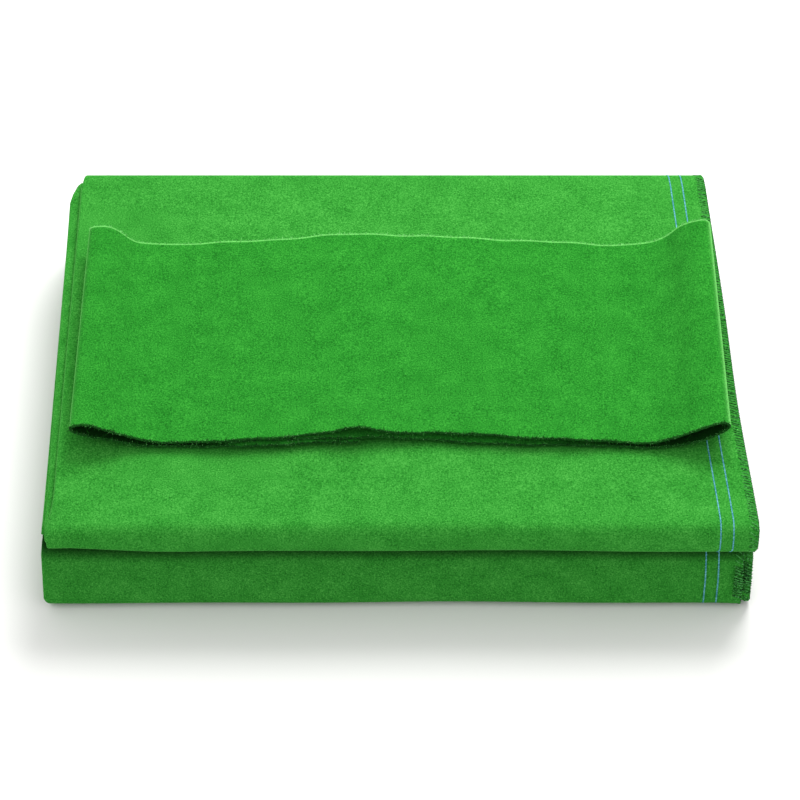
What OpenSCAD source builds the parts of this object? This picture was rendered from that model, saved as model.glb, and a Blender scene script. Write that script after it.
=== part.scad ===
// Folded cloth set for a gaming table.
// A long bed cloth is folded in four across its width and then nine times along its length.
// A narrow cloth for the table's rails lies on top of it, folded into a flat loop.
// X runs along the front folds, Y from the front to the back, and Z up from the table.

/* [Folded bed cloth] */
// Width of the folded pack
pack_w = 394; // [320:1:450]
// Depth of the folded pack, from the front folds to the back folds
pack_d = 290; // [260:1:340]
// Height of the folded pack without the rail cloth
pack_h = 64.5; // [58:0.5:72]
// Clear air between two panels that lie on each other
layer_gap = 0.3; // [0.2:0.1:0.4]
// How far the right edges run in towards the back
right_taper = 13; // [4:1:16]
// How far the upper bundle's left edge sits in from the lower bundle's
left_step = 2.5; // [0.5:0.5:6]
// Corner radius of the lower bundle's front fold
lower_fold_r = 7.8; // [7.5:0.1:9]
// Corner radius of the upper bundle's front fold
upper_fold_r = 7.5; // [7.5:0.1:8]

/* [Selvedge] */
// Width of one blue marker line
line_w = 1; // [0.8:0.1:1.6]
// How far the marker lines stand proud of the cloth
thread_proud = 0.25; // [0.2:0.05:0.3]
// Outer marker line, measured in from the selvedge
outer_line_in = 14; // [10:1:18]
// Distance between the two marker lines
line_pitch = 7; // [5:1:10]
// Width of the whip stitching along the selvedge
stitch_w = 4.5; // [3:0.5:6]

/* [Rail cloth] */
// Width of the rail cloth, which is its extent from front to back
rail_w = 157; // [140:1:180]
// Thickness of the rail cloth
rail_t = 1.6; // [1.2:0.1:2]
// How far the strip's front edge lies behind the pack's front folds
rail_setback = 62; // [50:1:80]
// How high the springy end loops stand above the bed cloth
loop_h = 21; // [14:0.5:26]
// How high the middle of the strip arches over its own cut ends
middle_rise = 1.2; // [0.5:0.1:4]

/* [Hidden] */
$fn = 64;
eps = 0.01;

// Panels are counted from the bottom: 1 to 6 are the lower bundle and 7 to 9 the upper one.
panels = 9;
lower_panels = 6;
pitch = (pack_h + layer_gap) / panels;
cloth_t = pitch - layer_gap;

// The front and back folds end here, so that the marker threads reach the pack's full depth.
y_front = -pack_d / 2 + thread_proud;
y_back = pack_d / 2;
x_left = -pack_w / 2;
x_right = pack_w / 2;
back_fold_r = (pitch + cloth_t) / 2;

// Three folds lie inside one another at the front of the lower bundle, and the panels end behind them.
fold_step = cloth_t + layer_gap;
fold_zone = 3 * fold_step + layer_gap;
y_panel_front = y_front + fold_zone;
y_panel_back = y_back - back_fold_r;
// Panel 8 carries one free end of the cloth and panel 3 carries the other.
start_panel = 8;
end_panel = 3;
y_start = y_front + fold_step;
y_end = y_back - 2;

rail_front = -pack_d / 2 + rail_setback;
rail_z = pack_h + thread_proud + 0.35;

function level_z(level) = (level - 1) * pitch;
function left_x(level) = level > lower_panels ? x_left + left_step : x_left;
function panel_front(level) = level == start_panel ? y_start : y_panel_front;
function panel_back(level) = level == end_panel ? y_end : y_panel_back;
// The right edge at a given Y: full width along the front folds, run in by right_taper at the back.
function right_x(y) =
    x_right - right_taper * min(1, max(0, (y - y_panel_front) / (y_panel_back - y_panel_front)));
function reversed(list) = [for (i = [len(list) - 1 : -1 : 0]) list[i]];

// Turns a profile drawn in the YZ plane into a solid that runs along X.
module along_x(x0, x1) {
    translate([x0, 0, 0]) rotate([90, 0, 90]) linear_extrude(x1 - x0) children();
}

// Turns a profile drawn in the XZ plane into a solid as long as the rail cloth is wide.
module along_y() {
    translate([0, rail_front + rail_w, 0]) rotate([90, 0, 0]) linear_extrude(rail_w) children();
}

// One flat panel of the bed cloth, four plies thick, tapering on its right.
module panel(level) {
    color("limegreen") translate([0, 0, level_z(level)]) linear_extrude(cloth_t)
        polygon([
            [left_x(level), panel_front(level)],
            [x_right, panel_front(level)],
            [x_right, y_panel_front],
            [right_x(y_panel_back), y_panel_back],
            [right_x(y_panel_back), panel_back(level)],
            [left_x(level), panel_back(level)]
        ]);
}

// Half of a rounded box, bulging towards +Y from Y = 0 and centred on Z = 0.
module half_round(half_h, radius, depth) {
    if (half_h > radius + eps)
        translate([0, -half_h + radius]) square([depth, 2 * (half_h - radius)]);
    if (depth > radius + eps)
        translate([0, -half_h]) square([depth - radius, 2 * half_h]);
    for (side = [-1, 1])
        translate([depth - radius, side * (half_h - radius)]) circle(radius);
}

// Profile of a fold that joins two panels, bulging towards +Y.
module fold_profile(low, high, radius, depth) {
    outer_h = ((high - low) * pitch + cloth_t) / 2;
    inner_h = outer_h - cloth_t;
    inner_r = min(max(radius - cloth_t, 0.1), inner_h);
    translate([0, level_z(low) + outer_h]) intersection() {
        difference() {
            half_round(outer_h, radius, depth);
            half_round(inner_h, inner_r, depth - cloth_t);
        }
        translate([0, -outer_h]) square([depth, 2 * outer_h]);
    }
}

// A fold at the front of the pack, set in by the thickness of the folds around it.
module front_fold(low, high, radius, inset) {
    color("forestgreen") along_x(left_x(low), x_right)
        translate([y_panel_front, 0]) mirror([1, 0])
            fold_profile(low, high, radius, fold_zone - inset);
}

// A fold at the back of the pack, round one panel's edge with no hollow left in it.
module back_fold(low, high) {
    color("forestgreen") along_x(left_x(low), right_x(y_panel_back))
        translate([y_panel_back, 0])
            fold_profile(low, high, back_fold_r, back_fold_r);
}

// One quarter of the crease that joins the two bundles, between two heights.
module crease_quarter(z0, z1, level) {
    color("forestgreen") along_x(left_x(level), right_x(y_panel_back)) intersection() {
        translate([y_panel_back, 0])
            fold_profile(lower_panels, lower_panels + 1, back_fold_r, back_fold_r);
        translate([y_panel_back, z0]) square([back_fold_r, z1 - z0]);
    }
}

module bed_panel_1() { panel(1); }
module bed_panel_2() { panel(2); }
module bed_panel_3() { panel(3); }
module bed_panel_4() { panel(4); }
module bed_panel_5() { panel(5); }
module bed_panel_6() { panel(6); }
module bed_panel_7() { panel(7); }
module bed_panel_8() { panel(8); }
module bed_panel_9() { panel(9); }

module front_fold_outer() { front_fold(1, 6, lower_fold_r, 0); }
module front_fold_upper() { front_fold(7, 9, upper_fold_r, 0); }

module front_fold_middle() { front_fold(2, 5, lower_fold_r, fold_step); }
module front_fold_inner() { front_fold(3, 4, back_fold_r, 2 * fold_step); }

module back_fold_bottom() { back_fold(1, 2); }
module back_fold_middle() { back_fold(4, 5); }
module back_fold_top() { back_fold(8, 9); }

module crease_lower() { crease_quarter(0, level_z(7) - layer_gap, 6); }
module crease_upper() { crease_quarter(level_z(7), pack_h, 7); }

// A line of thread on the top face that follows the right edge, inset from it.
module top_line(inset, width) {
    route = [
        [x_right, y_front + upper_fold_r],
        [x_right, y_panel_front],
        [right_x(y_panel_back), y_panel_back]
    ];
    translate([0, 0, pack_h]) linear_extrude(thread_proud) polygon(concat(
        [for (p = route) [p[0] - inset, p[1]]],
        [for (p = reversed(route)) [p[0] - inset + width, p[1]]]
    ));
}

// The same line on the upright face of a front fold, between two heights.
module front_line(inset, width, z0, z1) {
    translate([x_right - inset, y_front - thread_proud, z0])
        cube([width, thread_proud, z1 - z0]);
}

upper_face = [level_z(7) + upper_fold_r, pack_h - upper_fold_r];
lower_face = [lower_fold_r, level_z(6) + cloth_t - lower_fold_r];

module marker_threads_upper() {
    color("steelblue") for (inset = [outer_line_in, outer_line_in + line_pitch]) {
        top_line(inset, line_w);
        front_line(inset, line_w, upper_face[0], upper_face[1]);
    }
}

module marker_threads_lower() {
    color("steelblue") for (inset = [outer_line_in, outer_line_in + line_pitch])
        front_line(inset, line_w, lower_face[0], lower_face[1]);
}

module edge_stitching_upper() {
    color("darkgreen") {
        top_line(stitch_w, stitch_w);
        front_line(stitch_w, stitch_w, upper_face[0], upper_face[1]);
    }
}

module edge_stitching_lower() {
    color("darkgreen") front_line(stitch_w, stitch_w, lower_face[0], lower_face[1]);
}

// Heights of the middle of each ply of the rail cloth, counted up from the bed cloth
ply_z = [for (i = [0 : 3]) rail_z + rail_t / 2 + i * (rail_t + layer_gap)];
// Where the two cut ends of the strip lie under the top ply
end_a_x = -53;
end_b_x = -23;
// Where the second ply turns back inside the left loop
inner_x = -95;
turn_r = (rail_t + layer_gap) / 2;
loop_z = rail_z + loop_h;
function lifted(share) = rail_z + share * loop_h;

// The strip's middle line seen from the front, from its lower cut end to its upper one. Each row is a
// stretch with its own node: the bottom ply, the left loop, the top ply, the right loop, the second ply.
stretches = [
    [[end_a_x, ply_z[0]], [-85, ply_z[0]], [-118, ply_z[0]]],
    [[-146, ply_z[0] + 0.8], [-164, lifted(0.35)], [-175, lifted(0.58)], [-180.5, lifted(0.78)],
     [-179, loop_z - 1.2], [-170, loop_z], [-157, loop_z - 4.4], [-144, lifted(0.48)]],
    [[-131, ply_z[1] + 2], [-117, ply_z[1] + 1.2], [-103, ply_z[2] + 1.4], [inner_x + 6, ply_z[3] + 0.2],
     [-60, ply_z[3] + 0.3], [-25, ply_z[3] + middle_rise],
     [10, ply_z[2] + 0.8], [50, ply_z[2]], [95, ply_z[1] + 0.8], [125, ply_z[1] + 0.4]],
    [[142, ply_z[1] + 1], [154, lifted(0.42)], [165, lifted(0.76)], [174, loop_z - 0.6], [180, loop_z],
     [182.5, lifted(0.87)], [180, lifted(0.69)], [170, lifted(0.42)], [157, lifted(0.17)]],
    [[143, ply_z[0] + 0.2], [110, ply_z[0]], [60, ply_z[0] + 0.1], [22, ply_z[0] + 1.1], [-15, ply_z[2] - 0.3],
     [-50, ply_z[2]], [inner_x, ply_z[2]]]
];
control = [for (stretch = stretches) for (p = stretch) p];
starts = [for (i = [0 : len(stretches)]) count_before(i)];
function count_before(i) = i == 0 ? 0 : count_before(i - 1) + len(stretches[i - 1]);

// A smooth line through the control points, whose slope at each one is that of its neighbours' chord
span_steps = 4;
function chord(i) = control[min(i + 1, len(control) - 1)] - control[max(i - 1, 0)];
function between(i, t) =
    let (a = control[i], b = control[i + 1])
    let (reach = norm(b - a))
    let (slope_a = chord(i) / norm(chord(i)) * reach, slope_b = chord(i + 1) / norm(chord(i + 1)) * reach)
    a * (2 * pow(t, 3) - 3 * t * t + 1) + slope_a * (pow(t, 3) - 2 * t * t + t)
        + b * (3 * t * t - 2 * pow(t, 3)) + slope_b * (pow(t, 3) - t * t);
strip_line = [
    for (i = [0 : len(control) - 2]) for (j = [0 : span_steps - 1]) between(i, j / span_steps),
    control[len(control) - 1]
];

// A point of the strip's face, half its thickness off the middle line on one side
function face_point(i, side) =
    let (last = len(strip_line) - 1)
    let (along = strip_line[min(i + 1, last)] - strip_line[max(i - 1, 0)])
    strip_line[i] + side * rail_t / 2 * [-along[1], along[0]] / norm(along);

// The piece of the strip that belongs to one stretch, up to the start of the next one.
module strip_piece(stretch) {
    first = starts[stretch] * span_steps;
    last = min(starts[stretch + 1] * span_steps, len(strip_line) - 1);
    color("green") along_y() polygon(concat(
        [for (i = [first : last]) face_point(i, 1)],
        [for (i = [last : -1 : first]) face_point(i, -1)]
    ));
}

module rail_bottom_ply() { strip_piece(0); }
module rail_left_loop() { strip_piece(1); }
module rail_top_ply() { strip_piece(2); }
module rail_right_loop() { strip_piece(3); }
module rail_second_ply() { strip_piece(4); }

// The tight turn inside the left loop, where the second ply runs back under itself
module rail_inner_loop() {
    color("green") along_y() translate([inner_x, (ply_z[1] + ply_z[2]) / 2]) difference() {
        circle(turn_r + rail_t / 2);
        circle(turn_r - rail_t / 2);
        translate([0, -2 * turn_r]) square([2 * turn_r, 4 * turn_r]);
    }
}

module rail_third_ply() {
    color("green") along_y() translate([inner_x, ply_z[1] - rail_t / 2]) square([end_b_x - inner_x, rail_t]);
}

bed_panel_1();
bed_panel_2();
bed_panel_3();
bed_panel_4();
bed_panel_5();
bed_panel_6();
bed_panel_7();
bed_panel_8();
bed_panel_9();
front_fold_outer();
front_fold_middle();
front_fold_inner();
front_fold_upper();
back_fold_bottom();
back_fold_middle();
back_fold_top();
crease_lower();
crease_upper();
marker_threads_upper();
marker_threads_lower();
edge_stitching_upper();
edge_stitching_lower();
rail_top_ply();
rail_second_ply();
rail_third_ply();
rail_bottom_ply();
rail_left_loop();
rail_right_loop();
rail_inner_loop();
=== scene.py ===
# %% [markdown]
# # A folded cloth set for a gaming table
#
# The object is two pieces of napped green wool cloth. The large bed cloth is folded in four across
# its width and then nine times along its length, which leaves a pack of 36 plies. The narrow rail
# cloth lies on top of it, folded into one flat, springy loop.
#
# Cloth that is folded this tightly hides most of itself, so it could be faked with a stack of slabs.
# But the slabs would show at the folds, at the stitched edges and as soon as the pack is opened.
# So each cloth is made here as what it is: one continuous sheet that follows its fold path.

import math

import bmesh
import bpy
import numpy as np
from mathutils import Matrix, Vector


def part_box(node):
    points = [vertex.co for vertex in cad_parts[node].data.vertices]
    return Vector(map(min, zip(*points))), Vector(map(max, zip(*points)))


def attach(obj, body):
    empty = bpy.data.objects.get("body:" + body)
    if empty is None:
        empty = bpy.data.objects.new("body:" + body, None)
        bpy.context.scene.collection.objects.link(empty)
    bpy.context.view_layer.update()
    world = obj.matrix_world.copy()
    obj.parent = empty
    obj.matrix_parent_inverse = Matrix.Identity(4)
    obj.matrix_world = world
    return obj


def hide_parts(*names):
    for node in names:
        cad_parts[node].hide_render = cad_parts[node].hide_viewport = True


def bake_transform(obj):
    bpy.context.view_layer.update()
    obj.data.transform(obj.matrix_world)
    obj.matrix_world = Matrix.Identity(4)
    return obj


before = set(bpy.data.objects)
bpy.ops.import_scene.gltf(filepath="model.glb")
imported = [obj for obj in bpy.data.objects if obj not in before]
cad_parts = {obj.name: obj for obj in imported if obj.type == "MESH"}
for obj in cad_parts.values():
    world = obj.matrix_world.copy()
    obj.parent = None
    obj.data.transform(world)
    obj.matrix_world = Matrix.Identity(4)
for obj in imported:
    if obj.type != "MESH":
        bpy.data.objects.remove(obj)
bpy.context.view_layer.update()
MM = 0.001

# %% [markdown]
# ## Measures taken from the frame
#
# Everything below is worked out in millimetres from the CAD nodes' boxes, and turned into metres
# only when a mesh is made. The height of a panel, the place of the crease and the depth of the folds
# are read from the nodes, so the cloth follows the frame if the frame changes.


# %% Read the fold plan from the CAD nodes
def node_box(name):
    """The lowest and highest corner of a CAD node, in millimetres."""
    low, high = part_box(name)
    return np.array(low) / MM, np.array(high) / MM


PANELS = 9
PLIES = 4
panel_box = {level: node_box(f"bed_panel_{level}") for level in range(1, PANELS + 1)}
level_z = {level: (low[2] + high[2]) / 2 for level, (low, high) in panel_box.items()}
pack_top = panel_box[PANELS][1][2]
pitch = level_z[2] - level_z[1]
band_t = panel_box[1][1][2] - panel_box[1][0][2]
ply_pitch = band_t / PLIES
cloth_t = 0.94 * ply_pitch

y_front = node_box("front_fold_outer")[0][1]
y_turn = panel_box[1][1][1]
y_start = panel_box[8][0][1]
y_end = panel_box[3][1][1]
x_left = panel_box[1][0][0]
x_right = panel_box[1][1][0]
crease_z = (level_z[6] + level_z[7]) / 2
print(f"pitch {pitch:.2f} mm, ply {ply_pitch:.2f} mm, crease at z = {crease_z:.2f} mm")

# %% [markdown]
# ## Camera and stage
#
# The pack is seen straight from the front and from well above, through a long lens, on a pale floor
# in soft, even light from above. The floor and the lights are not part of the object.

# %% Camera
CAMERA_TILT = 46.0
CAMERA_FAR = 1950.0
LENS = 162.1
AIM = np.array([0.0, y_front, pack_top])
FRONT_EDGE_DROP = 71.2


def add_camera():
    """Place the camera so that the pack's top front edge lies FRONT_EDGE_DROP below the middle."""
    tilt = math.radians(CAMERA_TILT)
    back = np.array([0.0, -math.cos(tilt), math.sin(tilt)])
    up = np.array([0.0, math.sin(tilt), math.cos(tilt)])
    place = AIM + back * CAMERA_FAR + up * FRONT_EDGE_DROP
    data = bpy.data.cameras.new("camera")
    data.lens = LENS
    data.sensor_width = 36.0
    data.clip_start = 0.05
    camera = bpy.data.objects.new("camera", data)
    camera.location = Vector(place * MM)
    camera.rotation_euler = (math.pi / 2 - tilt, 0.0, 0.0)
    bpy.context.scene.collection.objects.link(camera)
    bpy.context.scene.camera = camera
    return camera


camera = add_camera()
print("camera at", [round(value, 3) for value in camera.location])


# %% Colour and node helpers
def linear(hex_colour, alpha=1.0):
    """An sRGB hex colour as linear RGBA, by the sRGB curve."""
    channels = [int(hex_colour[i : i + 2], 16) / 255 for i in (1, 3, 5)]
    curve = [c / 12.92 if c <= 0.04045 else ((c + 0.055) / 1.055) ** 2.4 for c in channels]
    return (*curve, alpha)


def add(tree, kind, links=(), **settings):
    """Add one node, set its properties and sockets, and link (socket, other node, output) to it."""
    node = tree.nodes.new(kind)
    for name, value in settings.items():
        if hasattr(node, name):
            setattr(node, name, value)
        else:
            node.inputs[name.replace("_", " ")].default_value = value
    for socket, other, output in links:
        tree.links.new(other.outputs[output], node.inputs[socket])
    return node


# %% Stage: floor, sky and two soft lamps
def add_stage():
    """A pale floor in the pack's resting plane, and a bright even sky."""
    half = 6.0
    mesh = bpy.data.meshes.new("floor")
    corners = [(-half, -half, 0), (half, -half, 0), (half, half, 0), (-half, half, 0)]
    mesh.from_pydata(corners, [], [(0, 1, 2, 3)])
    floor = bpy.data.objects.new("floor", mesh)
    bpy.context.scene.collection.objects.link(floor)
    paint = bpy.data.materials.new("pale_floor")
    paint.use_nodes = True
    shader = paint.node_tree.nodes["Principled BSDF"]
    shader.inputs["Base Color"].default_value = linear("#DCDCDA")
    shader.inputs["Roughness"].default_value = 0.9
    mesh.materials.append(paint)

    world = bpy.data.worlds.new("studio")
    world.use_nodes = True
    world.node_tree.nodes["Background"].inputs["Color"].default_value = linear("#FFFFFF")
    world.node_tree.nodes["Background"].inputs["Strength"].default_value = 1.09
    bpy.context.scene.world = world


def add_lamp(name, place, aim, size, power):
    """A square area lamp at a place, turned to face its aim."""
    data = bpy.data.lights.new(name, "AREA")
    data.shape = "SQUARE"
    data.size = size
    data.energy = power
    lamp = bpy.data.objects.new(name, data)
    lamp.location = place
    lamp.rotation_euler = (Vector(aim) - Vector(place)).to_track_quat("-Z", "Y").to_euler()
    bpy.context.scene.collection.objects.link(lamp)


add_stage()
add_lamp("overhead_softbox", (0.35, 0.95, 1.4), (0.0, 0.0, 0.0), 0.9, 34.0)
add_lamp("side_fill", (-1.5, -0.2, 1.1), (0.0, 0.0, 0.0), 1.2, 3.0)
bpy.context.scene.view_settings.view_transform = "Standard"
print("stage ready")

# %% [markdown]
# ## The finish of napped wool cloth
#
# Gaming cloth is woven from worsted wool, then milled and brushed until short fibres cover the
# weave. The eye sees a matt, even green with a soft mottle a few millimetres wide, a finer grain of
# single tufts, and a pale bloom of fibre tips where the surface turns away. Cloth like this could be
# given a weave texture, but the nap hides the weave, so the pattern here is built from three sizes
# of noise on Object coordinates, which stay in place on every fold, and a sheen for the bloom. On
# top of that, painted shade makes the colour dark in the crease and in the hollows of the loops,
# and a painted highlight makes it pale along the strip's back edge and the ridges of its loops.
# Both follow the piece's own shape, so each piece stores them as a share for every point.


# %% Napped wool
MOTTLE_MM = 14.0
TUFT_MM = 0.85
FIBRE_MM = 0.38


def noise(tree, coords, size_mm, detail, roughness=0.55):
    """Noise whose blotches are about size_mm across."""
    links = [("Vector", coords, "Object")]
    scale = 1 / (size_mm * MM)
    return add(tree, "ShaderNodeTexNoise", links, Scale=scale, Detail=detail, Roughness=roughness)


def napped_wool(name, deep, body, pale, bloom, painted_shade_colour="#031A04", bump_mm=0.25):
    """Napped wool: three hex tones mixed by tuft noise, a sheen for the nap, a bump for the tufts.

    A point attribute fades it to a near-black green, as painted shade in creases and hollows.
    The one called tips fades it to bloom, as a painted highlight on edges and ridges, in tufts."""
    material = bpy.data.materials.new(name)
    material.use_nodes = True
    tree = material.node_tree
    coords = add(tree, "ShaderNodeTexCoord")
    mottle = noise(tree, coords, MOTTLE_MM, 2.0)
    tuft = noise(tree, coords, TUFT_MM, 3.0, 0.6)
    fibre = noise(tree, coords, FIBRE_MM, 2.0, 0.7)
    both = add(tree, "ShaderNodeMix", [(2, tuft, "Fac"), (3, fibre, "Fac")], data_type="FLOAT", Factor=0.42)
    grain = add(tree, "ShaderNodeMix", [(2, both, 0), (3, mottle, "Fac")], data_type="FLOAT", Factor=0.12)
    ramp = add(tree, "ShaderNodeValToRGB", [("Fac", grain, 0)])
    stops = ramp.color_ramp.elements
    stops[0].position, stops[0].color = 0.35, linear(deep)
    stops[1].position, stops[1].color = 0.66, linear(pale)
    middle = stops.new(0.5)
    middle.color = linear(body)
    # painted shade: a point attribute darkens the colour towards a near-black green in creases and hollows
    painted_shade = add(tree, "ShaderNodeAttribute", attribute_name="painted_shade")
    shade = add(tree, "ShaderNodeMix", [(0, painted_shade, "Fac"), (6, ramp, "Color")], data_type="RGBA")
    shade.inputs[7].default_value = linear(painted_shade_colour)
    # painted highlight: the tips attribute, broken up by the tuft grain, fades the colour to the pale bloom
    tips = add(tree, "ShaderNodeAttribute", attribute_name="tips")
    painted_highlight_share = add(tree, "ShaderNodeMath", [(0, tips, "Fac"), (1, both, 0)], operation="MULTIPLY")
    lit = add(tree, "ShaderNodeMix", [(0, painted_highlight_share, 0), (6, shade, 2)], data_type="RGBA")
    lit.inputs[7].default_value = linear(bloom)
    bump = add(tree, "ShaderNodeBump", [("Height", both, 0)], Strength=0.55, Distance=bump_mm * MM)
    shader = tree.nodes["Principled BSDF"]
    shader.inputs["Roughness"].default_value = 1.09
    shader.inputs["Specular IOR Level"].default_value = 0.06
    shader.inputs["Sheen Weight"].default_value = 0.4
    shader.inputs["Sheen Roughness"].default_value = 0.25
    shader.inputs["Sheen Tint"].default_value = linear(bloom)
    tree.links.new(lit.outputs[2], shader.inputs["Base Color"])
    tree.links.new(bump.outputs["Normal"], shader.inputs["Normal"])
    return material


# milled and brushed wool, matt with a pale bloom; the rail cloth's nap lies closer and reads darker
bed_wool = napped_wool("napped_wool_bed_green", "#0E4F10", "#297E27", "#4EA244", "#8CE87E")
rail_wool = napped_wool("napped_wool_rail_green", "#08440A", "#1E741F", "#3C9934", "#8CE87E")
print("wool:", bed_wool.name, rail_wool.name)


# %% Thread and fibre finishes
def thread_material(name, colour, lift, pitch_mm):
    """Spun polyester thread: two tones banded by fine noise, as the plies of the thread catch light."""
    material = bpy.data.materials.new(name)
    material.use_nodes = True
    tree = material.node_tree
    coords = add(tree, "ShaderNodeTexCoord")
    twist = noise(tree, coords, pitch_mm, 1.0)
    ramp = add(tree, "ShaderNodeValToRGB", [("Fac", twist, "Fac")])
    ramp.color_ramp.elements[0].position, ramp.color_ramp.elements[0].color = 0.35, linear(colour)
    ramp.color_ramp.elements[1].position, ramp.color_ramp.elements[1].color = 0.68, linear(lift)
    shader = tree.nodes["Principled BSDF"]
    shader.inputs["Roughness"].default_value = 0.8
    shader.inputs["Specular IOR Level"].default_value = 0.1
    tree.links.new(ramp.outputs["Color"], shader.inputs["Base Color"])
    return material


# the marker threads are a dusty blue, and each twist of the yarn shows as a paler bead
marker_finish = thread_material("spun_polyester_marker_blue", "#2A7488", "#6CB0B8", 0.9)
# the whipping is darker than the cloth, with a light glint where a stitch turns over the edge
stitch_finish = thread_material("spun_polyester_dark_green", "#083A10", "#4CA04E", 1.1)
# single fibres in a shaded and a lit copy: nearly black where they stand in front of a loop's hollow,
# as painted shade, and pale where light gets through, as painted light
shaded_fibre_finish = thread_material("wool_fibre_in_shade", "#06300A", "#226E20", 1.2)
lit_fibre_finish = thread_material("wool_fibre_in_light", "#3F9E3E", "#86D27E", 2.0)
# a cut edge shows the cloth's dense core, which has no nap to catch the light, and painted shade darkens it
# more
cut_core_and_shade_finish = thread_material("raw_cut_edge_and_painted_shade", "#08300C", "#1E641E", 0.8)
print("threads:", marker_finish.name, stitch_finish.name, shaded_fibre_finish.name, lit_fibre_finish.name)


# %% Mesh helpers
def make_piece(name, points, faces, material, smooth=True):
    """A mesh object from points in millimetres and a face array (quads or triangles)."""
    mesh = bpy.data.meshes.new(name)
    points = np.asarray(points, np.float32).reshape(-1, 3) * MM
    faces = np.asarray(faces, np.int32)
    corners = faces.shape[1]
    mesh.vertices.add(len(points))
    mesh.vertices.foreach_set("co", points.ravel())
    mesh.loops.add(faces.size)
    mesh.loops.foreach_set("vertex_index", faces.ravel())
    mesh.polygons.add(len(faces))
    mesh.polygons.foreach_set("loop_start", np.arange(0, faces.size, corners, dtype=np.int32))
    mesh.polygons.foreach_set("use_smooth", np.full(len(faces), smooth))
    mesh.materials.append(material)
    mesh.update(calc_edges=True)
    mesh.validate()
    piece = bpy.data.objects.new(name, mesh)
    bpy.context.scene.collection.objects.link(piece)
    return piece


def add_share(piece, name, share):
    """Store a share from 0 to 1 for each point of a piece, under a name that its material reads."""
    layer = piece.data.attributes.new(name, "FLOAT", "POINT")
    layer.data.foreach_set("value", np.clip(share, 0, 1).astype(np.float32))


def places_mm(piece):
    """X, Y and Z of every point of a piece, in millimetres."""
    flat = np.empty(len(piece.data.vertices) * 3, np.float32)
    piece.data.vertices.foreach_get("co", flat)
    return flat.reshape(-1, 3).T / MM


def grid_faces(rows, columns, wrap=False):
    """Quads of a rows x columns grid of points; wrap joins the last column to the first."""
    across = columns if wrap else columns - 1
    row, column = np.meshgrid(np.arange(rows - 1), np.arange(across), indexing="ij")
    after = (column + 1) % columns
    near, far = row * columns, (row + 1) * columns
    return np.stack([near + column, near + after, far + after, far + column], -1).reshape(-1, 4)


def ease(x, start, end):
    """0 before start and 1 after end, with a smooth step between them."""
    s = np.clip((np.asarray(x, float) - start) / (end - start), 0, 1)
    return s * s * (3 - 2 * s)


def hump(x, centre, reach):
    """A smooth hump of height 1 at centre, which has faded out about two reaches away."""
    return np.exp(-(((np.asarray(x, float) - centre) / reach) ** 2))


# %% [markdown]
# ## The bed cloth
#
# Seen from its end, the folded cloth is a band of four plies that runs back and forth nine times.
# The path below is the middle of that band: straight runs joined by arcs. It starts at the free end
# inside the upper bundle, comes out over the top, wraps the front, goes down the crease at the back,
# wraps the whole lower bundle and works its way in. Across the band the cloth makes a second zigzag
# of four plies, with both selvedges on the right. A point of the cloth is then
#
#     path point + (distance from the band's middle) x (path normal), at its own place along X.
#
# Cloth simulation could settle such a pack, but 36 plies in contact would take far too long and
# would never stay apart. The zigzag of a zigzag is exact and never cuts into itself.

# %% The band's path
half_band = band_t / 2


class Path:
    """Collects straight runs and arcs in the YZ plane, with a tag that says where each point is."""

    def __init__(self):
        self.points, self.normals, self.places = [], [], []

    def run(self, y0, y1, z, steps, place0, place1):
        """A level run. The normal points up when the run goes to the front, and down otherwise."""
        share = np.linspace(0, 1, steps + 1)
        self.points.append(np.stack([y0 + (y1 - y0) * share, np.full_like(share, z)], -1))
        self.normals.append(np.tile([0.0, -np.sign(y1 - y0)], (steps + 1, 1)))
        self.places.append(place0 + (place1 - place0) * share)

    def arc(self, centre, radius, angles, outward, place0, place1):
        """An arc through a list of angles; outward is 1 if the normal points away from its centre."""
        angles = np.radians(angles)
        way = np.stack([np.cos(angles), np.sin(angles)], -1)
        self.points.append(np.array(centre) + radius * way)
        self.normals.append(outward * way)
        self.places.append(np.linspace(place0, place1, len(angles)))

    def finish(self):
        """All points, normals and places as arrays, without the doubled points at the joins."""
        parts = (self.points, self.normals, self.places)
        points, normals, places = (np.concatenate(part) for part in parts)
        keep = np.r_[True, np.linalg.norm(np.diff(points, axis=0), axis=1) > 1e-6]
        return points[keep], normals[keep], places[keep]


def front_turn(path, top, bottom, nose, corner, outward, place):
    """Go round the front from level top to level bottom, or back up, with two corners."""
    centre_y = nose + half_band + corner
    down = top > bottom
    z_high, z_low = level_z[max(top, bottom)] - corner, level_z[min(top, bottom)] + corner
    first = np.linspace(90, 180, 9) if down else np.linspace(270, 180, 9)
    last = np.linspace(180, 270, 9) if down else np.linspace(180, 90, 9)
    z_first, z_last = (z_high, z_low) if down else (z_low, z_high)
    path.arc((centre_y, z_first), corner, first, outward, place, place)
    path.arc((centre_y, z_last), corner, last, outward, place, place)


def back_turn(path, start, end, outward, place, angles=None):
    """Go round the back from one level to the next one, in a half circle."""
    turn = np.linspace(-90, 90, 17) if angles is None else np.asarray(angles)
    turn = turn if end > start else -turn
    path.arc((y_turn, (level_z[start] + level_z[end]) / 2), pitch / 2, turn, outward, place, place)


# Rings close to the middle of the crease, so that it bends evenly when the pack is opened
crease_side = np.array([0.25, 0.5, 0.9, 1.5, 2.5, 4.0, 7.0, 12.0, 20.0, 32.0, 48.0, 68.0, 90.0])
crease_angles = np.r_[-crease_side[::-1], 0.0, crease_side]

FRONT_CORNER = 4.6

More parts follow.
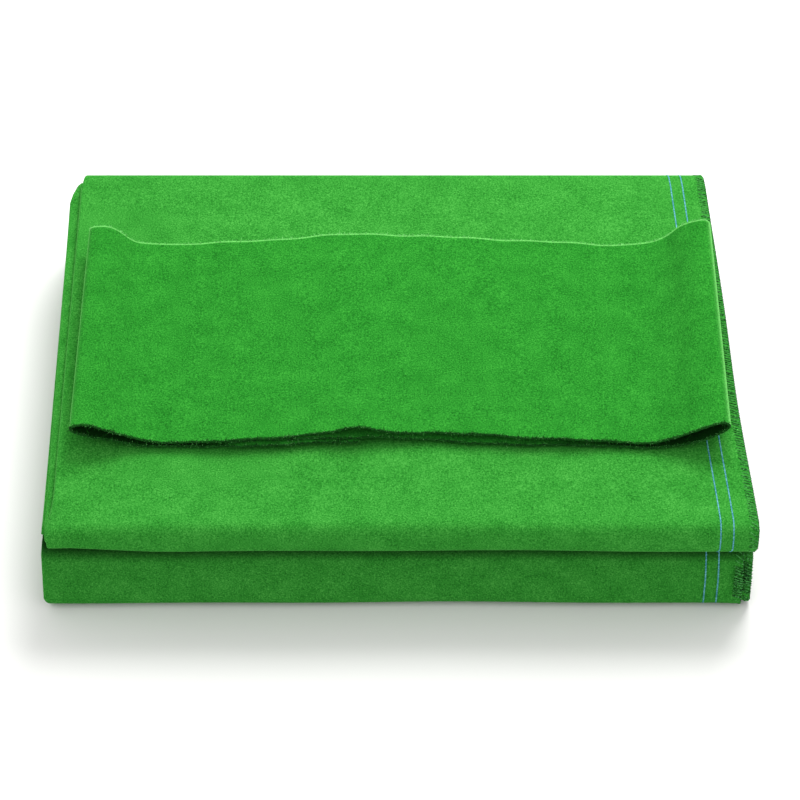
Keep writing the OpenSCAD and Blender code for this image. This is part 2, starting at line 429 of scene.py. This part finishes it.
path = Path()
path.run(y_start, y_turn, level_z[8], 12, 0.0, 1.0)
back_turn(path, 8, 9, 1, 1.0)
path.run(y_turn, y_front + half_band + FRONT_CORNER, level_z[9], 40, 1.0, 2.0)
front_turn(path, 9, 7, y_front, FRONT_CORNER, 1, 2.0)
path.run(y_front + half_band + FRONT_CORNER, y_turn, level_z[7], 12, 2.0, 3.0)
back_turn(path, 7, 6, -1, 3.0, crease_angles)
path.run(y_turn, y_front + half_band + FRONT_CORNER, level_z[6], 12, 3.0, 4.0)
front_turn(path, 6, 1, y_front, FRONT_CORNER, 1, 4.0)
path.run(y_front + half_band + FRONT_CORNER, y_turn, level_z[1], 12, 4.0, 5.0)
back_turn(path, 1, 2, 1, 5.0)
middle_front = y_front + pitch + half_band + FRONT_CORNER
path.run(y_turn, middle_front, level_z[2], 12, 5.0, 6.0)
front_turn(path, 2, 5, y_front + pitch, FRONT_CORNER, -1, 6.0)
path.run(middle_front, y_turn, level_z[5], 12, 6.0, 7.0)
back_turn(path, 5, 4, -1, 7.0)
inner_front = y_front + 2 * pitch + half_band + pitch / 2
path.run(y_turn, inner_front, level_z[4], 12, 7.0, 8.0)
path.arc((inner_front, (level_z[4] + level_z[3]) / 2), pitch / 2, np.linspace(90, 270, 17), 1, 8.0, 8.0)
path.run(inner_front, y_end, level_z[3], 12, 8.0, 9.0)
band_points, band_normals, band_place = path.finish()
steps = np.linalg.norm(np.diff(band_points, axis=0), axis=1)
band_length = np.r_[0.0, np.cumsum(steps)]
print(f"band path: {len(band_points)} rings, {band_length[-1]:.0f} mm long")

# %% [markdown]
# The zigzag across the width has five edges: the selvedge of ply 1, a fold on the left, a fold on
# the right, a second fold on the left, and the selvedge of ply 4, which is the outer one. A cloth
# folded by hand never lines up, so each edge wanders a few millimetres from panel to panel. The
# lists below give how far each edge sits in at the nine turns and the two free ends.

# %% Where the five edges of the folded width lie
right_taper = x_right - node_box("back_fold_bottom")[1][0] + 1.0
EDGE_INSETS = {
    "first_selvedge": [2.4, 1.4, 1.8, 2.6, 3.6, 1.5, 4.4, 1.8, 4.8, 3.0],
    "left_fold_low": [1.6, 0.6, 3.4, 3.0, 0.2, 0.3, 1.6, 1.8, 0.8, 2.2],
    "right_fold": [6.0, 6.5, 4.2, 6.6, 11.0, 7.5, 7.0, 6.5, 5.5, 7.0],
    "left_fold_high": [4.6, 7.6, 4.6, 4.4, 0.6, 1.4, 2.4, 0.9, 2.0, 1.1],
    "last_selvedge": [5.6, 2.2, 2.4, 7.4, 8.8, 6.0, 6.4, 5.6, 5.0, 6.0],
}
EDGES = list(EDGE_INSETS)
turns = np.arange(PANELS + 1)
to_back = np.abs((band_place + 1) % 2 - 1)
fold_r = ply_pitch / 2
half_cloth = cloth_t / 2


def edge_line(name):
    """X of one edge at every ring; a fold's line is the centre that its cloth turns round.

    The corners of the pack are rounded a little, so each edge also draws in close to a turn."""
    inset = np.interp(band_place, turns, EDGE_INSETS[name])
    y, z = band_points.T
    upper = ease(z, crease_z - 2, crease_z + 2)
    at_front = ease(-y, 128, 142)
    if name == "left_fold_high":
        # the highest left fold stays in along the whole top panel and comes out at the front
        top_panel = (band_place > 1) & (band_place < 2)
        inset = np.where(top_panel, 7.2 - 2.6 * ease(-y, 116, 140), inset)
    if name.startswith("left"):
        round_in = (1.2 + 3.6 * upper) * ease(y, 124, 145)
        if name == "left_fold_high":
            round_in = 1.8 * ease(y, 132, 145)
        flare_out = at_front * (1 - upper) * (0.8 * ease(z, 24, 42) - 0.8)
        inset = inset + round_in + flare_out + 4.0 * at_front * ease(9 - z, 0, 9)
        return x_left + inset + fold_r + half_cloth
    inset = inset + (2.6 - 0.4 * upper) * ease(y, 136, 145.5) + 1.5 * hump(to_back, 0.32, 0.22)
    inset = inset + 2.4 * at_front * upper * ease(level_z[7] + 4 - z, 0, 5)
    room = fold_r + half_cloth if name == "right_fold" else 0.0
    return x_right - right_taper * to_back - inset - room


edge_x = np.stack([edge_line(name) for name in EDGES])
print("edges at the front of the top panel:", np.round(edge_x[:, np.argmin(abs(band_place - 1.98))], 1))

# %% The zigzag across the width
FOLD_STEPS = 8
ply_steps = [10, 10, 10, 34]


def ply_run(start, end, ply, steps):
    """Samples of one flat ply from edge start to edge end: share, edge pair, offset and normal."""
    share = np.linspace(0, 1, steps + 1)
    height = np.full_like(share, (ply - (PLIES - 1) / 2) * ply_pitch)
    facing = 1.0 if ply % 2 == 0 else -1.0
    return [(start, end, s, 0.0, n, 0.0, facing) for s, n in zip(share, height)]


def ply_fold(edge, ply, side):
    """Samples of the half turn from a ply to the next one; side is -1 on the left, 1 on the right."""
    angle = np.linspace(0, math.pi, FOLD_STEPS + 1)[1:-1]
    middle = (ply - PLIES / 2 + 1) * ply_pitch
    round_trip = [(math.sin(a), -math.cos(a)) for a in angle]
    return [
        (edge, edge, 0.0, side * fold_r * out, middle + fold_r * up, out, side * up)
        for out, up in round_trip
    ]


across = (
    ply_run(0, 1, 0, ply_steps[0]) + ply_fold(1, 0, -1)
    + ply_run(1, 2, 1, ply_steps[1]) + ply_fold(2, 1, 1)
    + ply_run(2, 3, 2, ply_steps[2]) + ply_fold(3, 2, -1)
    + ply_run(3, 4, 3, ply_steps[3])
)
edge_a, edge_b = (np.array([row[i] for row in across]) for i in (0, 1))
share, shift_x, ply_n, facing_x, facing_n = (np.array([row[i] for row in across]) for i in (2, 3, 4, 5, 6))
print("samples across the band:", len(across))


# %% How the pack settles
PINCH = 0.2
TOP_SINK = 0.45
LOW_PLY_SINK = 0.15
SELVEDGE_DROP = 3.2
FRONT_LEAN = 6.0


def settle(points):
    """How the pack settles, as small moves of its points.

    The upper bundle's left corner is pinched by PINCH of its height and lifts off the lower one. The
    top sinks by TOP_SINK and a few soft waves between its folds, the plies below the top left fold
    sink away, the loose inner selvedge drops at the front, and the lower bundle's front leans back by
    up to FRONT_LEAN under the upper one. The front folds bulge in two slow waves."""
    x, y, z = points.T.copy()
    upper = z > crease_z
    corner = ease(-x, 120, 194) * ease(-y, 105, 136) * upper
    z = np.where(upper, pack_top - (pack_top - z) * (1 - PINCH * corner), z)
    share_up = np.clip((z - crease_z - 0.2) / (pack_top - crease_z), 0, 1)
    sink = 0.5 * np.sin(x / 61 + 0.6) * np.cos(y / 47) + 0.35 * np.sin(x / 29 + y / 83)
    z = z - share_up * (TOP_SINK + 0.5 * sink) * ease(-np.abs(y), -136, -100)
    z = np.where(upper, z - LOW_PLY_SINK * (z - crease_z) * ease(-x, 188.6, 191.6), z)
    front = ease(-y, 96, 140)
    loose = ease(x, 187.4, 190.5) * ease(-y, 120, 136) * ~upper
    z = z - SELVEDGE_DROP * loose * ease(14 - z, 0, 9)
    wave = 0.5 * np.sin(x / 58 + 1.1) + 0.3 * np.sin(x / 23 + z / 9)
    y = y + front * (0.2 + wave + ~upper * (0.3 + FRONT_LEAN * ease(z, 22, 44))) - 2.5 * loose
    return np.stack([x, y, np.maximum(z, 0.02)], -1)


# %% Lay the band's cross-section along its path
def band_surface(offset):
    """Every sample of the folded sheet, moved by offset along the sheet's own normal."""
    x = (1 - share) * edge_x[edge_a].T + share * edge_x[edge_b].T + shift_x + offset * facing_x
    n = ply_n + offset * facing_n
    y = band_points[:, :1] + band_normals[:, :1] * n
    z = band_points[:, 1:] + band_normals[:, 1:] * n
    return np.stack([x, y, z], -1)


def edge_lip(side_a, side_b, edge, inner, lip):
    """The middle of a sheet's long edge, moved out by lip, away from the next column inside it."""
    middle = (side_a[:, edge] + side_b[:, edge]) / 2
    outward = side_a[:, edge] - side_a[:, inner]
    return (middle + lip * outward / np.linalg.norm(outward, axis=-1, keepdims=True))[:, None]


def close_sheet(side_a, side_b, lip):
    """Join two sides of a sheet into one closed shell with rounded long edges.

    The sides are rows x columns x 3. Each ring goes along side a, round the last edge, back along
    side b and round the first edge. The two ends are closed with quads from side to side."""
    rows, columns = side_a.shape[:2]
    first = edge_lip(side_a, side_b, 0, 1, lip)
    last = edge_lip(side_a, side_b, -1, -2, lip)
    rings = np.concatenate([side_a, last, side_b[:, ::-1], first], axis=1)
    width = rings.shape[1]
    faces = [grid_faces(rows, width, wrap=True)]
    j = np.arange(columns - 1)
    cap = np.stack([j, j + 1, 2 * columns - 1 - j, 2 * columns - j], -1)
    faces += [cap, cap[:, ::-1] + (rows - 1) * width]
    tips = np.array([[columns - 1, columns, columns + 1], [2 * columns, 2 * columns + 1, 0]])
    return rings.reshape(-1, 3), np.concatenate(faces), tips, (rows - 1) * width


def add_sheet(name, side_a, side_b, lip, material, first_edge, last_edge):
    """Build the closed shell, add its corner triangles and point its faces outwards.

    The two long edges get their own finishes: first_edge at column 0 and last_edge at the last one."""
    points, quads, tips, far = close_sheet(side_a, side_b, lip)
    piece = make_piece(name, points, quads, material)
    piece.data.materials.append(first_edge)
    piece.data.materials.append(last_edge)
    rows, columns = side_a.shape[:2]
    column = np.tile(np.arange(2 * columns + 2), rows - 1)
    on_last = (column == columns - 1) | (column == columns)
    finish = np.where(column >= 2 * columns, 1, np.where(on_last, 2, 0))
    finish = np.r_[finish, np.zeros(len(quads) - len(finish), int)]
    piece.data.polygons.foreach_set("material_index", finish.astype(np.int32))
    shell = bmesh.new()
    shell.from_mesh(piece.data)
    shell.verts.ensure_lookup_table()
    for tip in tips:
        shell.faces.new([shell.verts[i] for i in tip]).smooth = True
        shell.faces.new([shell.verts[i + far] for i in tip[::-1]]).smooth = True
    bmesh.ops.recalc_face_normals(shell, faces=shell.faces)
    shell.to_mesh(piece.data)
    shell.free()
    return piece


# %% The bed cloth itself
BED_NODES = (
    [f"bed_panel_{level}" for level in range(1, PANELS + 1)]
    + ["front_fold_outer", "front_fold_middle", "front_fold_inner", "front_fold_upper"]
    + ["back_fold_bottom", "back_fold_middle", "back_fold_top", "crease_lower", "crease_upper"]
)


def ride_pack(piece):
    """Bake a piece of the pack's transform into its points, so that it stays where it is."""
    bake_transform(piece)


def add_bed_cloth():
    """One sheet, folded in four and then in nine, as a closed shell of the cloth's thickness."""
    sides = [settle(band_surface(offset).reshape(-1, 3)).reshape(len(band_points), -1, 3)
             for offset in (half_cloth, -half_cloth)]
    # both selvedges take the dark cut-edge colour, partly the cloth's core and partly painted shade
    piece = add_sheet("bed_cloth", sides[0], sides[1], 0.35 * cloth_t, bed_wool, cut_core_and_shade_finish, cut_core_and_shade_finish)
    x, y, z = places_mm(piece)
    # painted shade: the colour darkens in the crease between the two bundles at the front, most on the
    # lower face
    below = np.where(z < crease_z, hump(z, crease_z, 6.5), hump(z, crease_z, 2.2))
    add_share(piece, "painted_shade", 0.9 * below * ease(-y, 118, 132))
    ride_pack(piece)
    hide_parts(*BED_NODES)
    return piece


bed_cloth = add_bed_cloth()

# %% [markdown]
# ## Marker threads and whip stitching
#
# Two blue threads run in the weave beside each selvedge, where they tell the mill's cloth from
# others, and a dark green thread is whipped over the cut edge to keep it from fraying. Both could be
# painted on, but the stitches are what the eye reads along the edge of the pack. So each thread is a
# thin tube laid on the cloth at a set distance from its edge, and each stitch is a short tube that
# goes over the edge and back.


# %% Points on the cloth near a selvedge
def near_selvedge(along, inset, lift, name):
    """Points at a distance along the cloth, inset from a selvedge and lifted off its ply's middle."""
    line = edge_x[EDGES.index(name)]
    ply = 0 if name == "first_selvedge" else PLIES - 1
    n = (ply - (PLIES - 1) / 2) * ply_pitch + lift
    y, z, ny, nz = (
        np.interp(along, band_length, column)
        for column in (*band_points.T, *band_normals.T)
    )
    size = np.hypot(ny, nz)
    x = np.interp(along, band_length, line) - inset
    return np.stack([x, y + n * ny / size, z + n * nz / size], -1)


def tubes(centres, radii, sides, squash=1.0):
    """Tubes with closed ends around many lines of equal length: centres is lines x rings x 3.

    Each ring is a regular polygon across the line's direction, and squash flattens it."""
    lines, rings = centres.shape[:2]
    along = np.gradient(centres, axis=1)
    along /= np.linalg.norm(along, axis=-1, keepdims=True)
    guide = np.where(np.abs(along[..., :1]) > 0.8, [[[0.0, 0.0, 1.0]]], [[[1.0, 0.0, 0.0]]])
    side = np.cross(along, guide)
    side /= np.linalg.norm(side, axis=-1, keepdims=True)
    up = np.cross(side, along)
    angle = np.arange(sides) / sides * math.tau
    radii = np.broadcast_to(radii, (lines, rings))[..., None, None]
    ring = side[:, :, None] * np.cos(angle)[:, None] * squash + up[:, :, None] * np.sin(angle)[:, None]
    points = centres[:, :, None] + radii * ring
    one = grid_faces(rings, sides, wrap=True)
    count = rings * sides
    faces = (one[None] + (np.arange(lines) * count)[:, None, None]).reshape(-1, 4)
    return points.reshape(-1, 3), faces


def seat(points, along):
    """Keep a thread off the floor, and on its own bundle's side of the gap between the two bundles."""
    x, y, z = points.T.copy()
    above = np.interp(along, band_length, band_place) < 3.0
    flat = y < y_turn
    z = np.where(flat & above, np.maximum(z, crease_z + 0.12), z)
    z = np.where(flat & ~above, np.minimum(z, crease_z - 0.12), z)
    return np.stack([x, y, np.maximum(z, 0.0)], -1)


in_crease = (band_place == 3.0) & (band_points[:, 0] > y_turn)
crease_span = band_length[in_crease].min() - 1.0, band_length[in_crease].max() + 1.0

# %% Marker threads
OUTER_LINE_IN = 13.3
LINE_PITCH = 7.0
BEAD_MM = 1.5
LINE_HALF_WIDTH = 0.5
CREASE_SINK = 0.16


def add_marker_threads():
    """Four long beaded threads, two beside each selvedge, half sunk into the outer faces.

    In the arc of the crease they sink by CREASE_SINK more, so that they stay clear of the gap."""
    along = np.arange(2.0, band_length[-1] - 2.0, BEAD_MM / 2)
    bead = np.where(np.arange(len(along)) % 2 == 0, 1.0, 0.62)
    crease_in, crease_out = crease_span
    sunk = CREASE_SINK * ease(along, crease_in, crease_in + 1) * ease(-along, -crease_out, 1 - crease_out)
    shapes = []
    for name, face in (("first_selvedge", -1), ("last_selvedge", 1)):
        for inset in (OUTER_LINE_IN, OUTER_LINE_IN + LINE_PITCH):
            centre = settle(near_selvedge(along, inset, face * (half_cloth + 0.04 - sunk), name))
            points, faces = tubes(centre[None], LINE_HALF_WIDTH * bead, 4, squash=0.42)
            shapes.append((seat(points, np.repeat(along, 4)), faces))
    return join_shapes("marker_threads", shapes, marker_finish)


def join_shapes(name, shapes, material):
    """One piece from several (points, faces) pairs, with its faces turned outwards."""
    counts = np.cumsum([0] + [len(points) for points, _ in shapes[:-1]])
    points = np.concatenate([points for points, _ in shapes])
    faces = np.concatenate([faces + start for (_, faces), start in zip(shapes, counts)])
    piece = make_piece(name, points, faces, material)
    shell = bmesh.new()
    shell.from_mesh(piece.data)
    bmesh.ops.holes_fill(shell, edges=[edge for edge in shell.edges if edge.is_boundary], sides=8)
    bmesh.ops.recalc_face_normals(shell, faces=shell.faces)
    shell.to_mesh(piece.data)
    shell.free()
    return piece


marker_threads = add_marker_threads()
ride_pack(marker_threads)
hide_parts("marker_threads_upper", "marker_threads_lower")
print("marker threads:", len(marker_threads.data.polygons), "faces")

# %% Whip stitching
STITCH_PITCH = 1.9
STITCH_REACH = 4.4
STITCH_R = 0.4


def add_whip_stitches():
    """A slanting stitch every STITCH_PITCH over both selvedges, from one face round to the other.

    None is sewn inside the crease, where the pack bends most and a stitch would be torn."""
    over = half_cloth + 0.06
    halfway = 0.55 * STITCH_REACH
    inset = np.array([STITCH_REACH, halfway, 0.2, -0.42, 0.2, halfway, STITCH_REACH])
    lift = np.array([over - 0.12, over, over - 0.02, 0.0, -over + 0.02, -over, -over + 0.12])
    slant = np.array([0.0, 0.45, 0.85, 1.0, 1.15, 1.55, 2.0]) * STITCH_PITCH
    start = np.arange(1.0, band_length[-1] - 2 * STITCH_PITCH - 1.0, STITCH_PITCH)
    before_crease = start < crease_span[0] - 2 * STITCH_PITCH - 1.0
    start = start[before_crease | (start > crease_span[1] + 1.0)]
    rng = np.random.default_rng(11)
    shapes = []
    for name in ("first_selvedge", "last_selvedge"):
        jitter = rng.normal(0, 0.3, (len(start), 1))
        along = start[:, None] + slant + jitter
        reach = inset * rng.normal(1.0, 0.06, (len(start), 1))
        centre = np.stack(
            [near_selvedge(along[:, i], reach[:, i], lift[i], name) for i in range(len(inset))], axis=1
        )
        centre = settle(centre.reshape(-1, 3)).reshape(centre.shape)
        points, faces = tubes(centre, STITCH_R, 4)
        shapes.append((seat(points, np.repeat(along.ravel(), 4)), faces))
    return join_shapes("whip_stitches", shapes, stitch_finish)


whip_stitches = add_whip_stitches()
ride_pack(whip_stitches)
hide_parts("edge_stitching_upper", "edge_stitching_lower")
print("whip stitches:", len(whip_stitches.data.polygons), "faces")

# %% [markdown]
# ## The rail cloth
#
# The rail cloth is one strip, cut and not hemmed. Its right half is folded back under it, over the
# cut end of the left half, and turns once more inside. So four plies lie left of the middle, where
# the ends overlap, and two elsewhere. Wool this thick doesn't crease by itself: both end turns spring
# open into long drop-shaped loops whose tips lift off the pack, and the cut ends push up a low hump
# at the front. It could be draped by simulation, but the loops' spring is easier to draw than to tune.
# So the strip is a surface of two parameters: a smooth line through a few points, seen from the
# front, and the way across from front to back.

# %% The strip's line, seen from the front
rail_low, rail_high = node_box("rail_top_ply")
rail_front, rail_back = rail_low[1], rail_high[1]
bed_z = pack_top + 0.1
rail_t = 1.5
lie = [bed_z + 0.85 + i * 1.7 for i in range(4)]

RAIL_LINE = [
    # the bottom ply, from its cut end out to the left
    (-53, lie[0]), (-85, lie[0]), (-118, lie[0]), (-146, lie[0] + 0.7), (-165, bed_z + 6.6),
    # round the left loop and down onto the plies below
    (-176, bed_z + 10.4), (-181.4, bed_z + 13.6), (-180, bed_z + 16.8), (-171, bed_z + 17.8),
    (-158, bed_z + 12.2), (-145, bed_z + 6.4), (-132, lie[1] + 1.4), (-117, lie[1] + 1.6),
    # the top ply, over the doubled part and on to the right
    (-103, lie[2] + 1.0), (-89, lie[3] + 0.2), (-60, lie[3] + 0.2), (-25, lie[3] + 1.2),
    (10, lie[2] + 0.6), (50, lie[2] + 0.6), (95, lie[1] + 1.4), (125, lie[1] + 0.5),
    # round the right loop
    (141, lie[1] + 2.2), (153.5, bed_z + 9.4), (164.5, bed_z + 15.4), (173, bed_z + 18.9),
    (178.8, bed_z + 19.7), (181.4, bed_z + 17.2), (178.4, bed_z + 12.8), (169.5, bed_z + 7.4),
    # back along the bed cloth and up onto the bottom ply's end
    (157, bed_z + 2.7), (143, lie[0] + 0.1), (110, lie[0]), (60, lie[0] + 0.3), (22, lie[0] + 1.0),
    (-15, lie[2] - 0.2), (-50, lie[2]), (-94, lie[2]),
]
INNER_TURN = [(-95.6, lie[2] - 0.25), (-95.9, (lie[1] + lie[2]) / 2), (-95.6, lie[1] + 0.25)]
RAIL_TAIL = [(-94, lie[1]), (-70, lie[1]), (-40, lie[1] + 0.1), (-23, lie[1])]


def smooth_line(control, spacing):
    """A Catmull-Rom curve through control points, sampled about every spacing millimetres.

    Between two points it is the cubic whose slope at each point is that of its two neighbours'
    chord, scaled by the spans' own lengths so that close points don't overshoot."""
    control = np.array(control, float)
    span = np.sqrt(np.linalg.norm(np.diff(control, axis=0), axis=1))
    knots = np.r_[0.0, np.cumsum(span)]
    slope = np.gradient(control, knots, axis=0)
    pieces = []
    for i in range(len(control) - 1):
        steps = max(3, int(np.ceil(span[i] ** 2 / spacing)))
        s = np.linspace(0, 1, steps, endpoint=False)[:, None]
        h = knots[i + 1] - knots[i]
        pieces.append(
            (2 * s**3 - 3 * s**2 + 1) * control[i] + (s**3 - 2 * s**2 + s) * h * slope[i]
            + (3 * s**2 - 2 * s**3) * control[i + 1] + (s**3 - s**2) * h * slope[i + 1]
        )
    return np.concatenate([*pieces, control[-1:]])


rail_line = smooth_line(RAIL_LINE + INNER_TURN + RAIL_TAIL, 2.0)
rail_steps = np.linalg.norm(np.diff(rail_line, axis=0), axis=1)
rail_length = np.r_[0.0, np.cumsum(rail_steps)]
left_tip, right_tip = (rail_length[place(rail_line[:, 0])] for place in (np.argmin, np.argmax))
print(f"rail strip: {len(rail_line)} samples, {rail_length[-1]:.0f} mm long")

# %% The strip as a surface
RAIL_ACROSS = 56


def rail_surface(offset, v):
    """The strip's middle surface moved by offset along its normal; v runs from 0, front, to 1, back.

    The strip bows: its middle lies a few millimetres further back than its ends. Its front edge flares
    up over the cut ends, and its raw edges waver a little."""
    direction = np.gradient(rail_line, axis=0)
    direction /= np.linalg.norm(direction, axis=1, keepdims=True)
    normal = np.stack([-direction[:, 1], direction[:, 0]], -1)
    x = rail_line[:, 0] + offset * normal[:, 0]
    z = rail_line[:, 1] + offset * normal[:, 1]
    s = rail_length
    on_top = ease(s, 150, 200) * (1 - ease(s, 470, 520))
    under = 1 - on_top
    bow_reach = np.where(rail_line[:, 0] < -5, 62.0, 88.0)
    bow = 6.2 * hump(rail_line[:, 0], -5, bow_reach) * (1 - 0.35 * under)
    raw = 0.5 * np.sin(s / 13.0) + 0.3 * np.sin(s / 5.3 + 1.0) + 0.2 * np.sin(s / 1.3) * np.sin(s / 4.1)
    raw_back = 0.5 * np.sin(s / 11.0 + 2.0) + 0.3 * np.sin(s / 4.7)
    tail = ease(s, rail_length[-1] - 90, rail_length[-1] - 60)
    step_out = under * (0.8 - 2.0 * tail) * ease(-rail_line[:, 0], -40, 10)
    y0 = rail_front + bow + raw + step_out
    y1 = rail_back + bow + raw_back + 0.6 * step_out + 2.0 + 0.3 * ease(rail_line[:, 0], 100, 150)
    y = y0[:, None] + (y1 - y0)[:, None] * v[None]
    line_x, line_z = rail_line[:, :1], rail_line[:, 1:]
    lift = (0.1 + 1.0 * ease(line_x, -20, 5)) * (1 - ease(line_x, 96, 150)) + 4.2 * hump(line_x, -24, 12)
    flare = lift * hump(v, 0, 0.12)[None] * on_top[:, None]
    loop = ease(np.abs(line_x), 140, 168)
    spring = np.where(line_x > 0, 0.2, 0.0) * loop * v[None] * (line_z - lie[0])
    calm_edges = 0.4 + 0.6 * np.sin(math.pi * v[None])
    ripple = 0.45 * np.sin(line_x / 37 + 2.4 * v[None]) * on_top[:, None] * calm_edges
    z = z[:, None] + flare + spring + ripple * (line_z - bed_z > 3.0)
    above_left = ease(s, left_tip + 2, left_tip + 12)
    steep_right = 3.0 * hump(line_x, 152, 14) * on_top[:, None]
    steep_left = 8.0 * hump(line_x, -144, 18) * above_left[:, None]
    x = x[:, None] - np.where(line_x > 0, 2.2, 1.6) * loop * v[None] * np.sign(line_x)
    x = x + (steep_right - steep_left) * v[None] ** 2
    return np.stack([x, y, z], -1)


def add_rail_cloth():
    """The strip as a closed shell, 1.5 mm thick, with its raw edges rounded over."""
    edge_in = 0.004
    v = np.r_[0.0, edge_in, np.linspace(0.02, 0.98, RAIL_ACROSS), 1 - 2 * edge_in, 1 - edge_in, 1.0]
    sides = [rail_surface(offset, v) for offset in (rail_t / 2, -rail_t / 2)]
    # the front raw edge takes the dark cut-edge colour, partly painted shade; the back raw edge keeps the
    # wool
    piece = add_sheet("rail_cloth", sides[0], sides[1], 0.4 * rail_t, rail_wool, cut_core_and_shade_finish, rail_wool)
    # painted shade: the second side of the shell, which faces the hollow of both end loops, is darkened
    # along most of the strip
    ring = 2 * len(v) + 2
    column = np.arange(len(piece.data.vertices)) % ring
    inside = (column > len(v)) & (column < ring - 1)
    s = np.repeat(rail_length, ring)
    add_share(piece, "painted_shade", 0.85 * inside * ease(s, 40, 60) * (1 - ease(s, 560, 620)))
    # painted highlight: a pale line along the back edge where the strip's first side faces up, and on the
    # ridges of both end loops
    on_back_edge = (column >= len(v) - 2) & (column <= len(v))
    facing_up = np.repeat(ease(np.gradient(rail_line[:, 0]) / np.gradient(rail_length), -0.1, 0.4), ring)
    ridge = 0.85 * hump(s, right_tip - 0.6, 1.3) + 0.4 * hump(s, left_tip + 0.6, 1.3)
    add_share(piece, "tips", 0.72 * on_back_edge * facing_up + ridge * ~inside)
    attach(piece, "rail_cloth")
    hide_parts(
        "rail_top_ply", "rail_second_ply", "rail_third_ply", "rail_bottom_ply",
        "rail_left_loop", "rail_right_loop", "rail_inner_loop",
    )
    return piece


rail_cloth = add_rail_cloth()
print("rail cloth:", len(rail_cloth.data.polygons), "faces")

# %% [markdown]
# ## Raw edges
#
# A cut edge of napped wool is never clean: short fibres stand out of it all along. They could be a
# noise in the material, but then the edge itself would stay a hard line. Each fibre here is a bent,
# tapering sliver with a few faces, and thousands of them make the soft, dark and pale fringe. The
# dark and pale fibres are two colours of one fibre, painted shade and painted light.

# %% Fibres along the strip's long edges
def add_fringe(name, v, way, per_mm, reach, lean_up, finish, seed):
    """Slivers along one raw edge of the strip, bent at random, with a few long ones.

    v is 0 for the front edge and 1 for the back edge, and way is the edge's outward direction in Y."""
    rng = np.random.default_rng(seed)
    count = int(rail_length[-1] * per_mm)
    s = rng.uniform(0, rail_length[-1], count)
    level = rng.uniform(-0.95, 0.95, count)
    edges = [rail_surface(offset, np.array([v]))[:, 0] for offset in (rail_t / 2, -rail_t / 2)]
    top, low = (np.stack([np.interp(s, rail_length, row) for row in edge.T], -1) for edge in edges)
    root = (top + low) / 2 + (top - low) / 2 * level[:, None]
    root[:, 1] -= 0.25 * way
    clump = 0.75 + 0.45 * np.sin(s * 2.1 + 2 * np.sin(s * 0.7)) * np.sin(s * 0.9)
    long = reach * clump * (rng.gamma(3.0, 0.3, count) + 0.45)
    aim = rng.normal(0, 0.5, (count, 3)) + np.array([0.0, way, lean_up])
    aim = aim + (top - low) / rail_t * level[:, None] * 0.6
    aim /= np.linalg.norm(aim, axis=1, keepdims=True)
    bend = rng.normal(0, 0.25, (count, 1, 3))
    share_along = np.array([0.0, 0.5, 1.0])[None, :, None]
    centre = root[:, None] + long[:, None, None] * (aim[:, None] * share_along + bend * share_along**2)
    centre[..., 2] = np.maximum(centre[..., 2], bed_z + 0.1)
    return join_shapes(name, [tubes(centre, np.array([[0.17, 0.13, 0.03]]), 3)], finish)


# painted shade and light: dark fibres with a few pale ones at the front, a pale highlight line at the back
front_fringe = add_fringe("rail_front_fringe", 0.0, -1.0, 7.0, 1.5, 1.3, shaded_fibre_finish, 23)
front_fluff = add_fringe("rail_front_fluff", 0.0, -1.0, 2.0, 1.1, 1.3, lit_fibre_finish, 25)
back_fringe = add_fringe("rail_back_fringe", 1.0, 1.0, 10.0, 0.65, 1.1, lit_fibre_finish, 29)
for fringe in (front_fringe, front_fluff, back_fringe):
    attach(fringe, "rail_cloth")
print("fringes:", len(front_fringe.data.polygons), len(back_fringe.data.polygons), "faces")
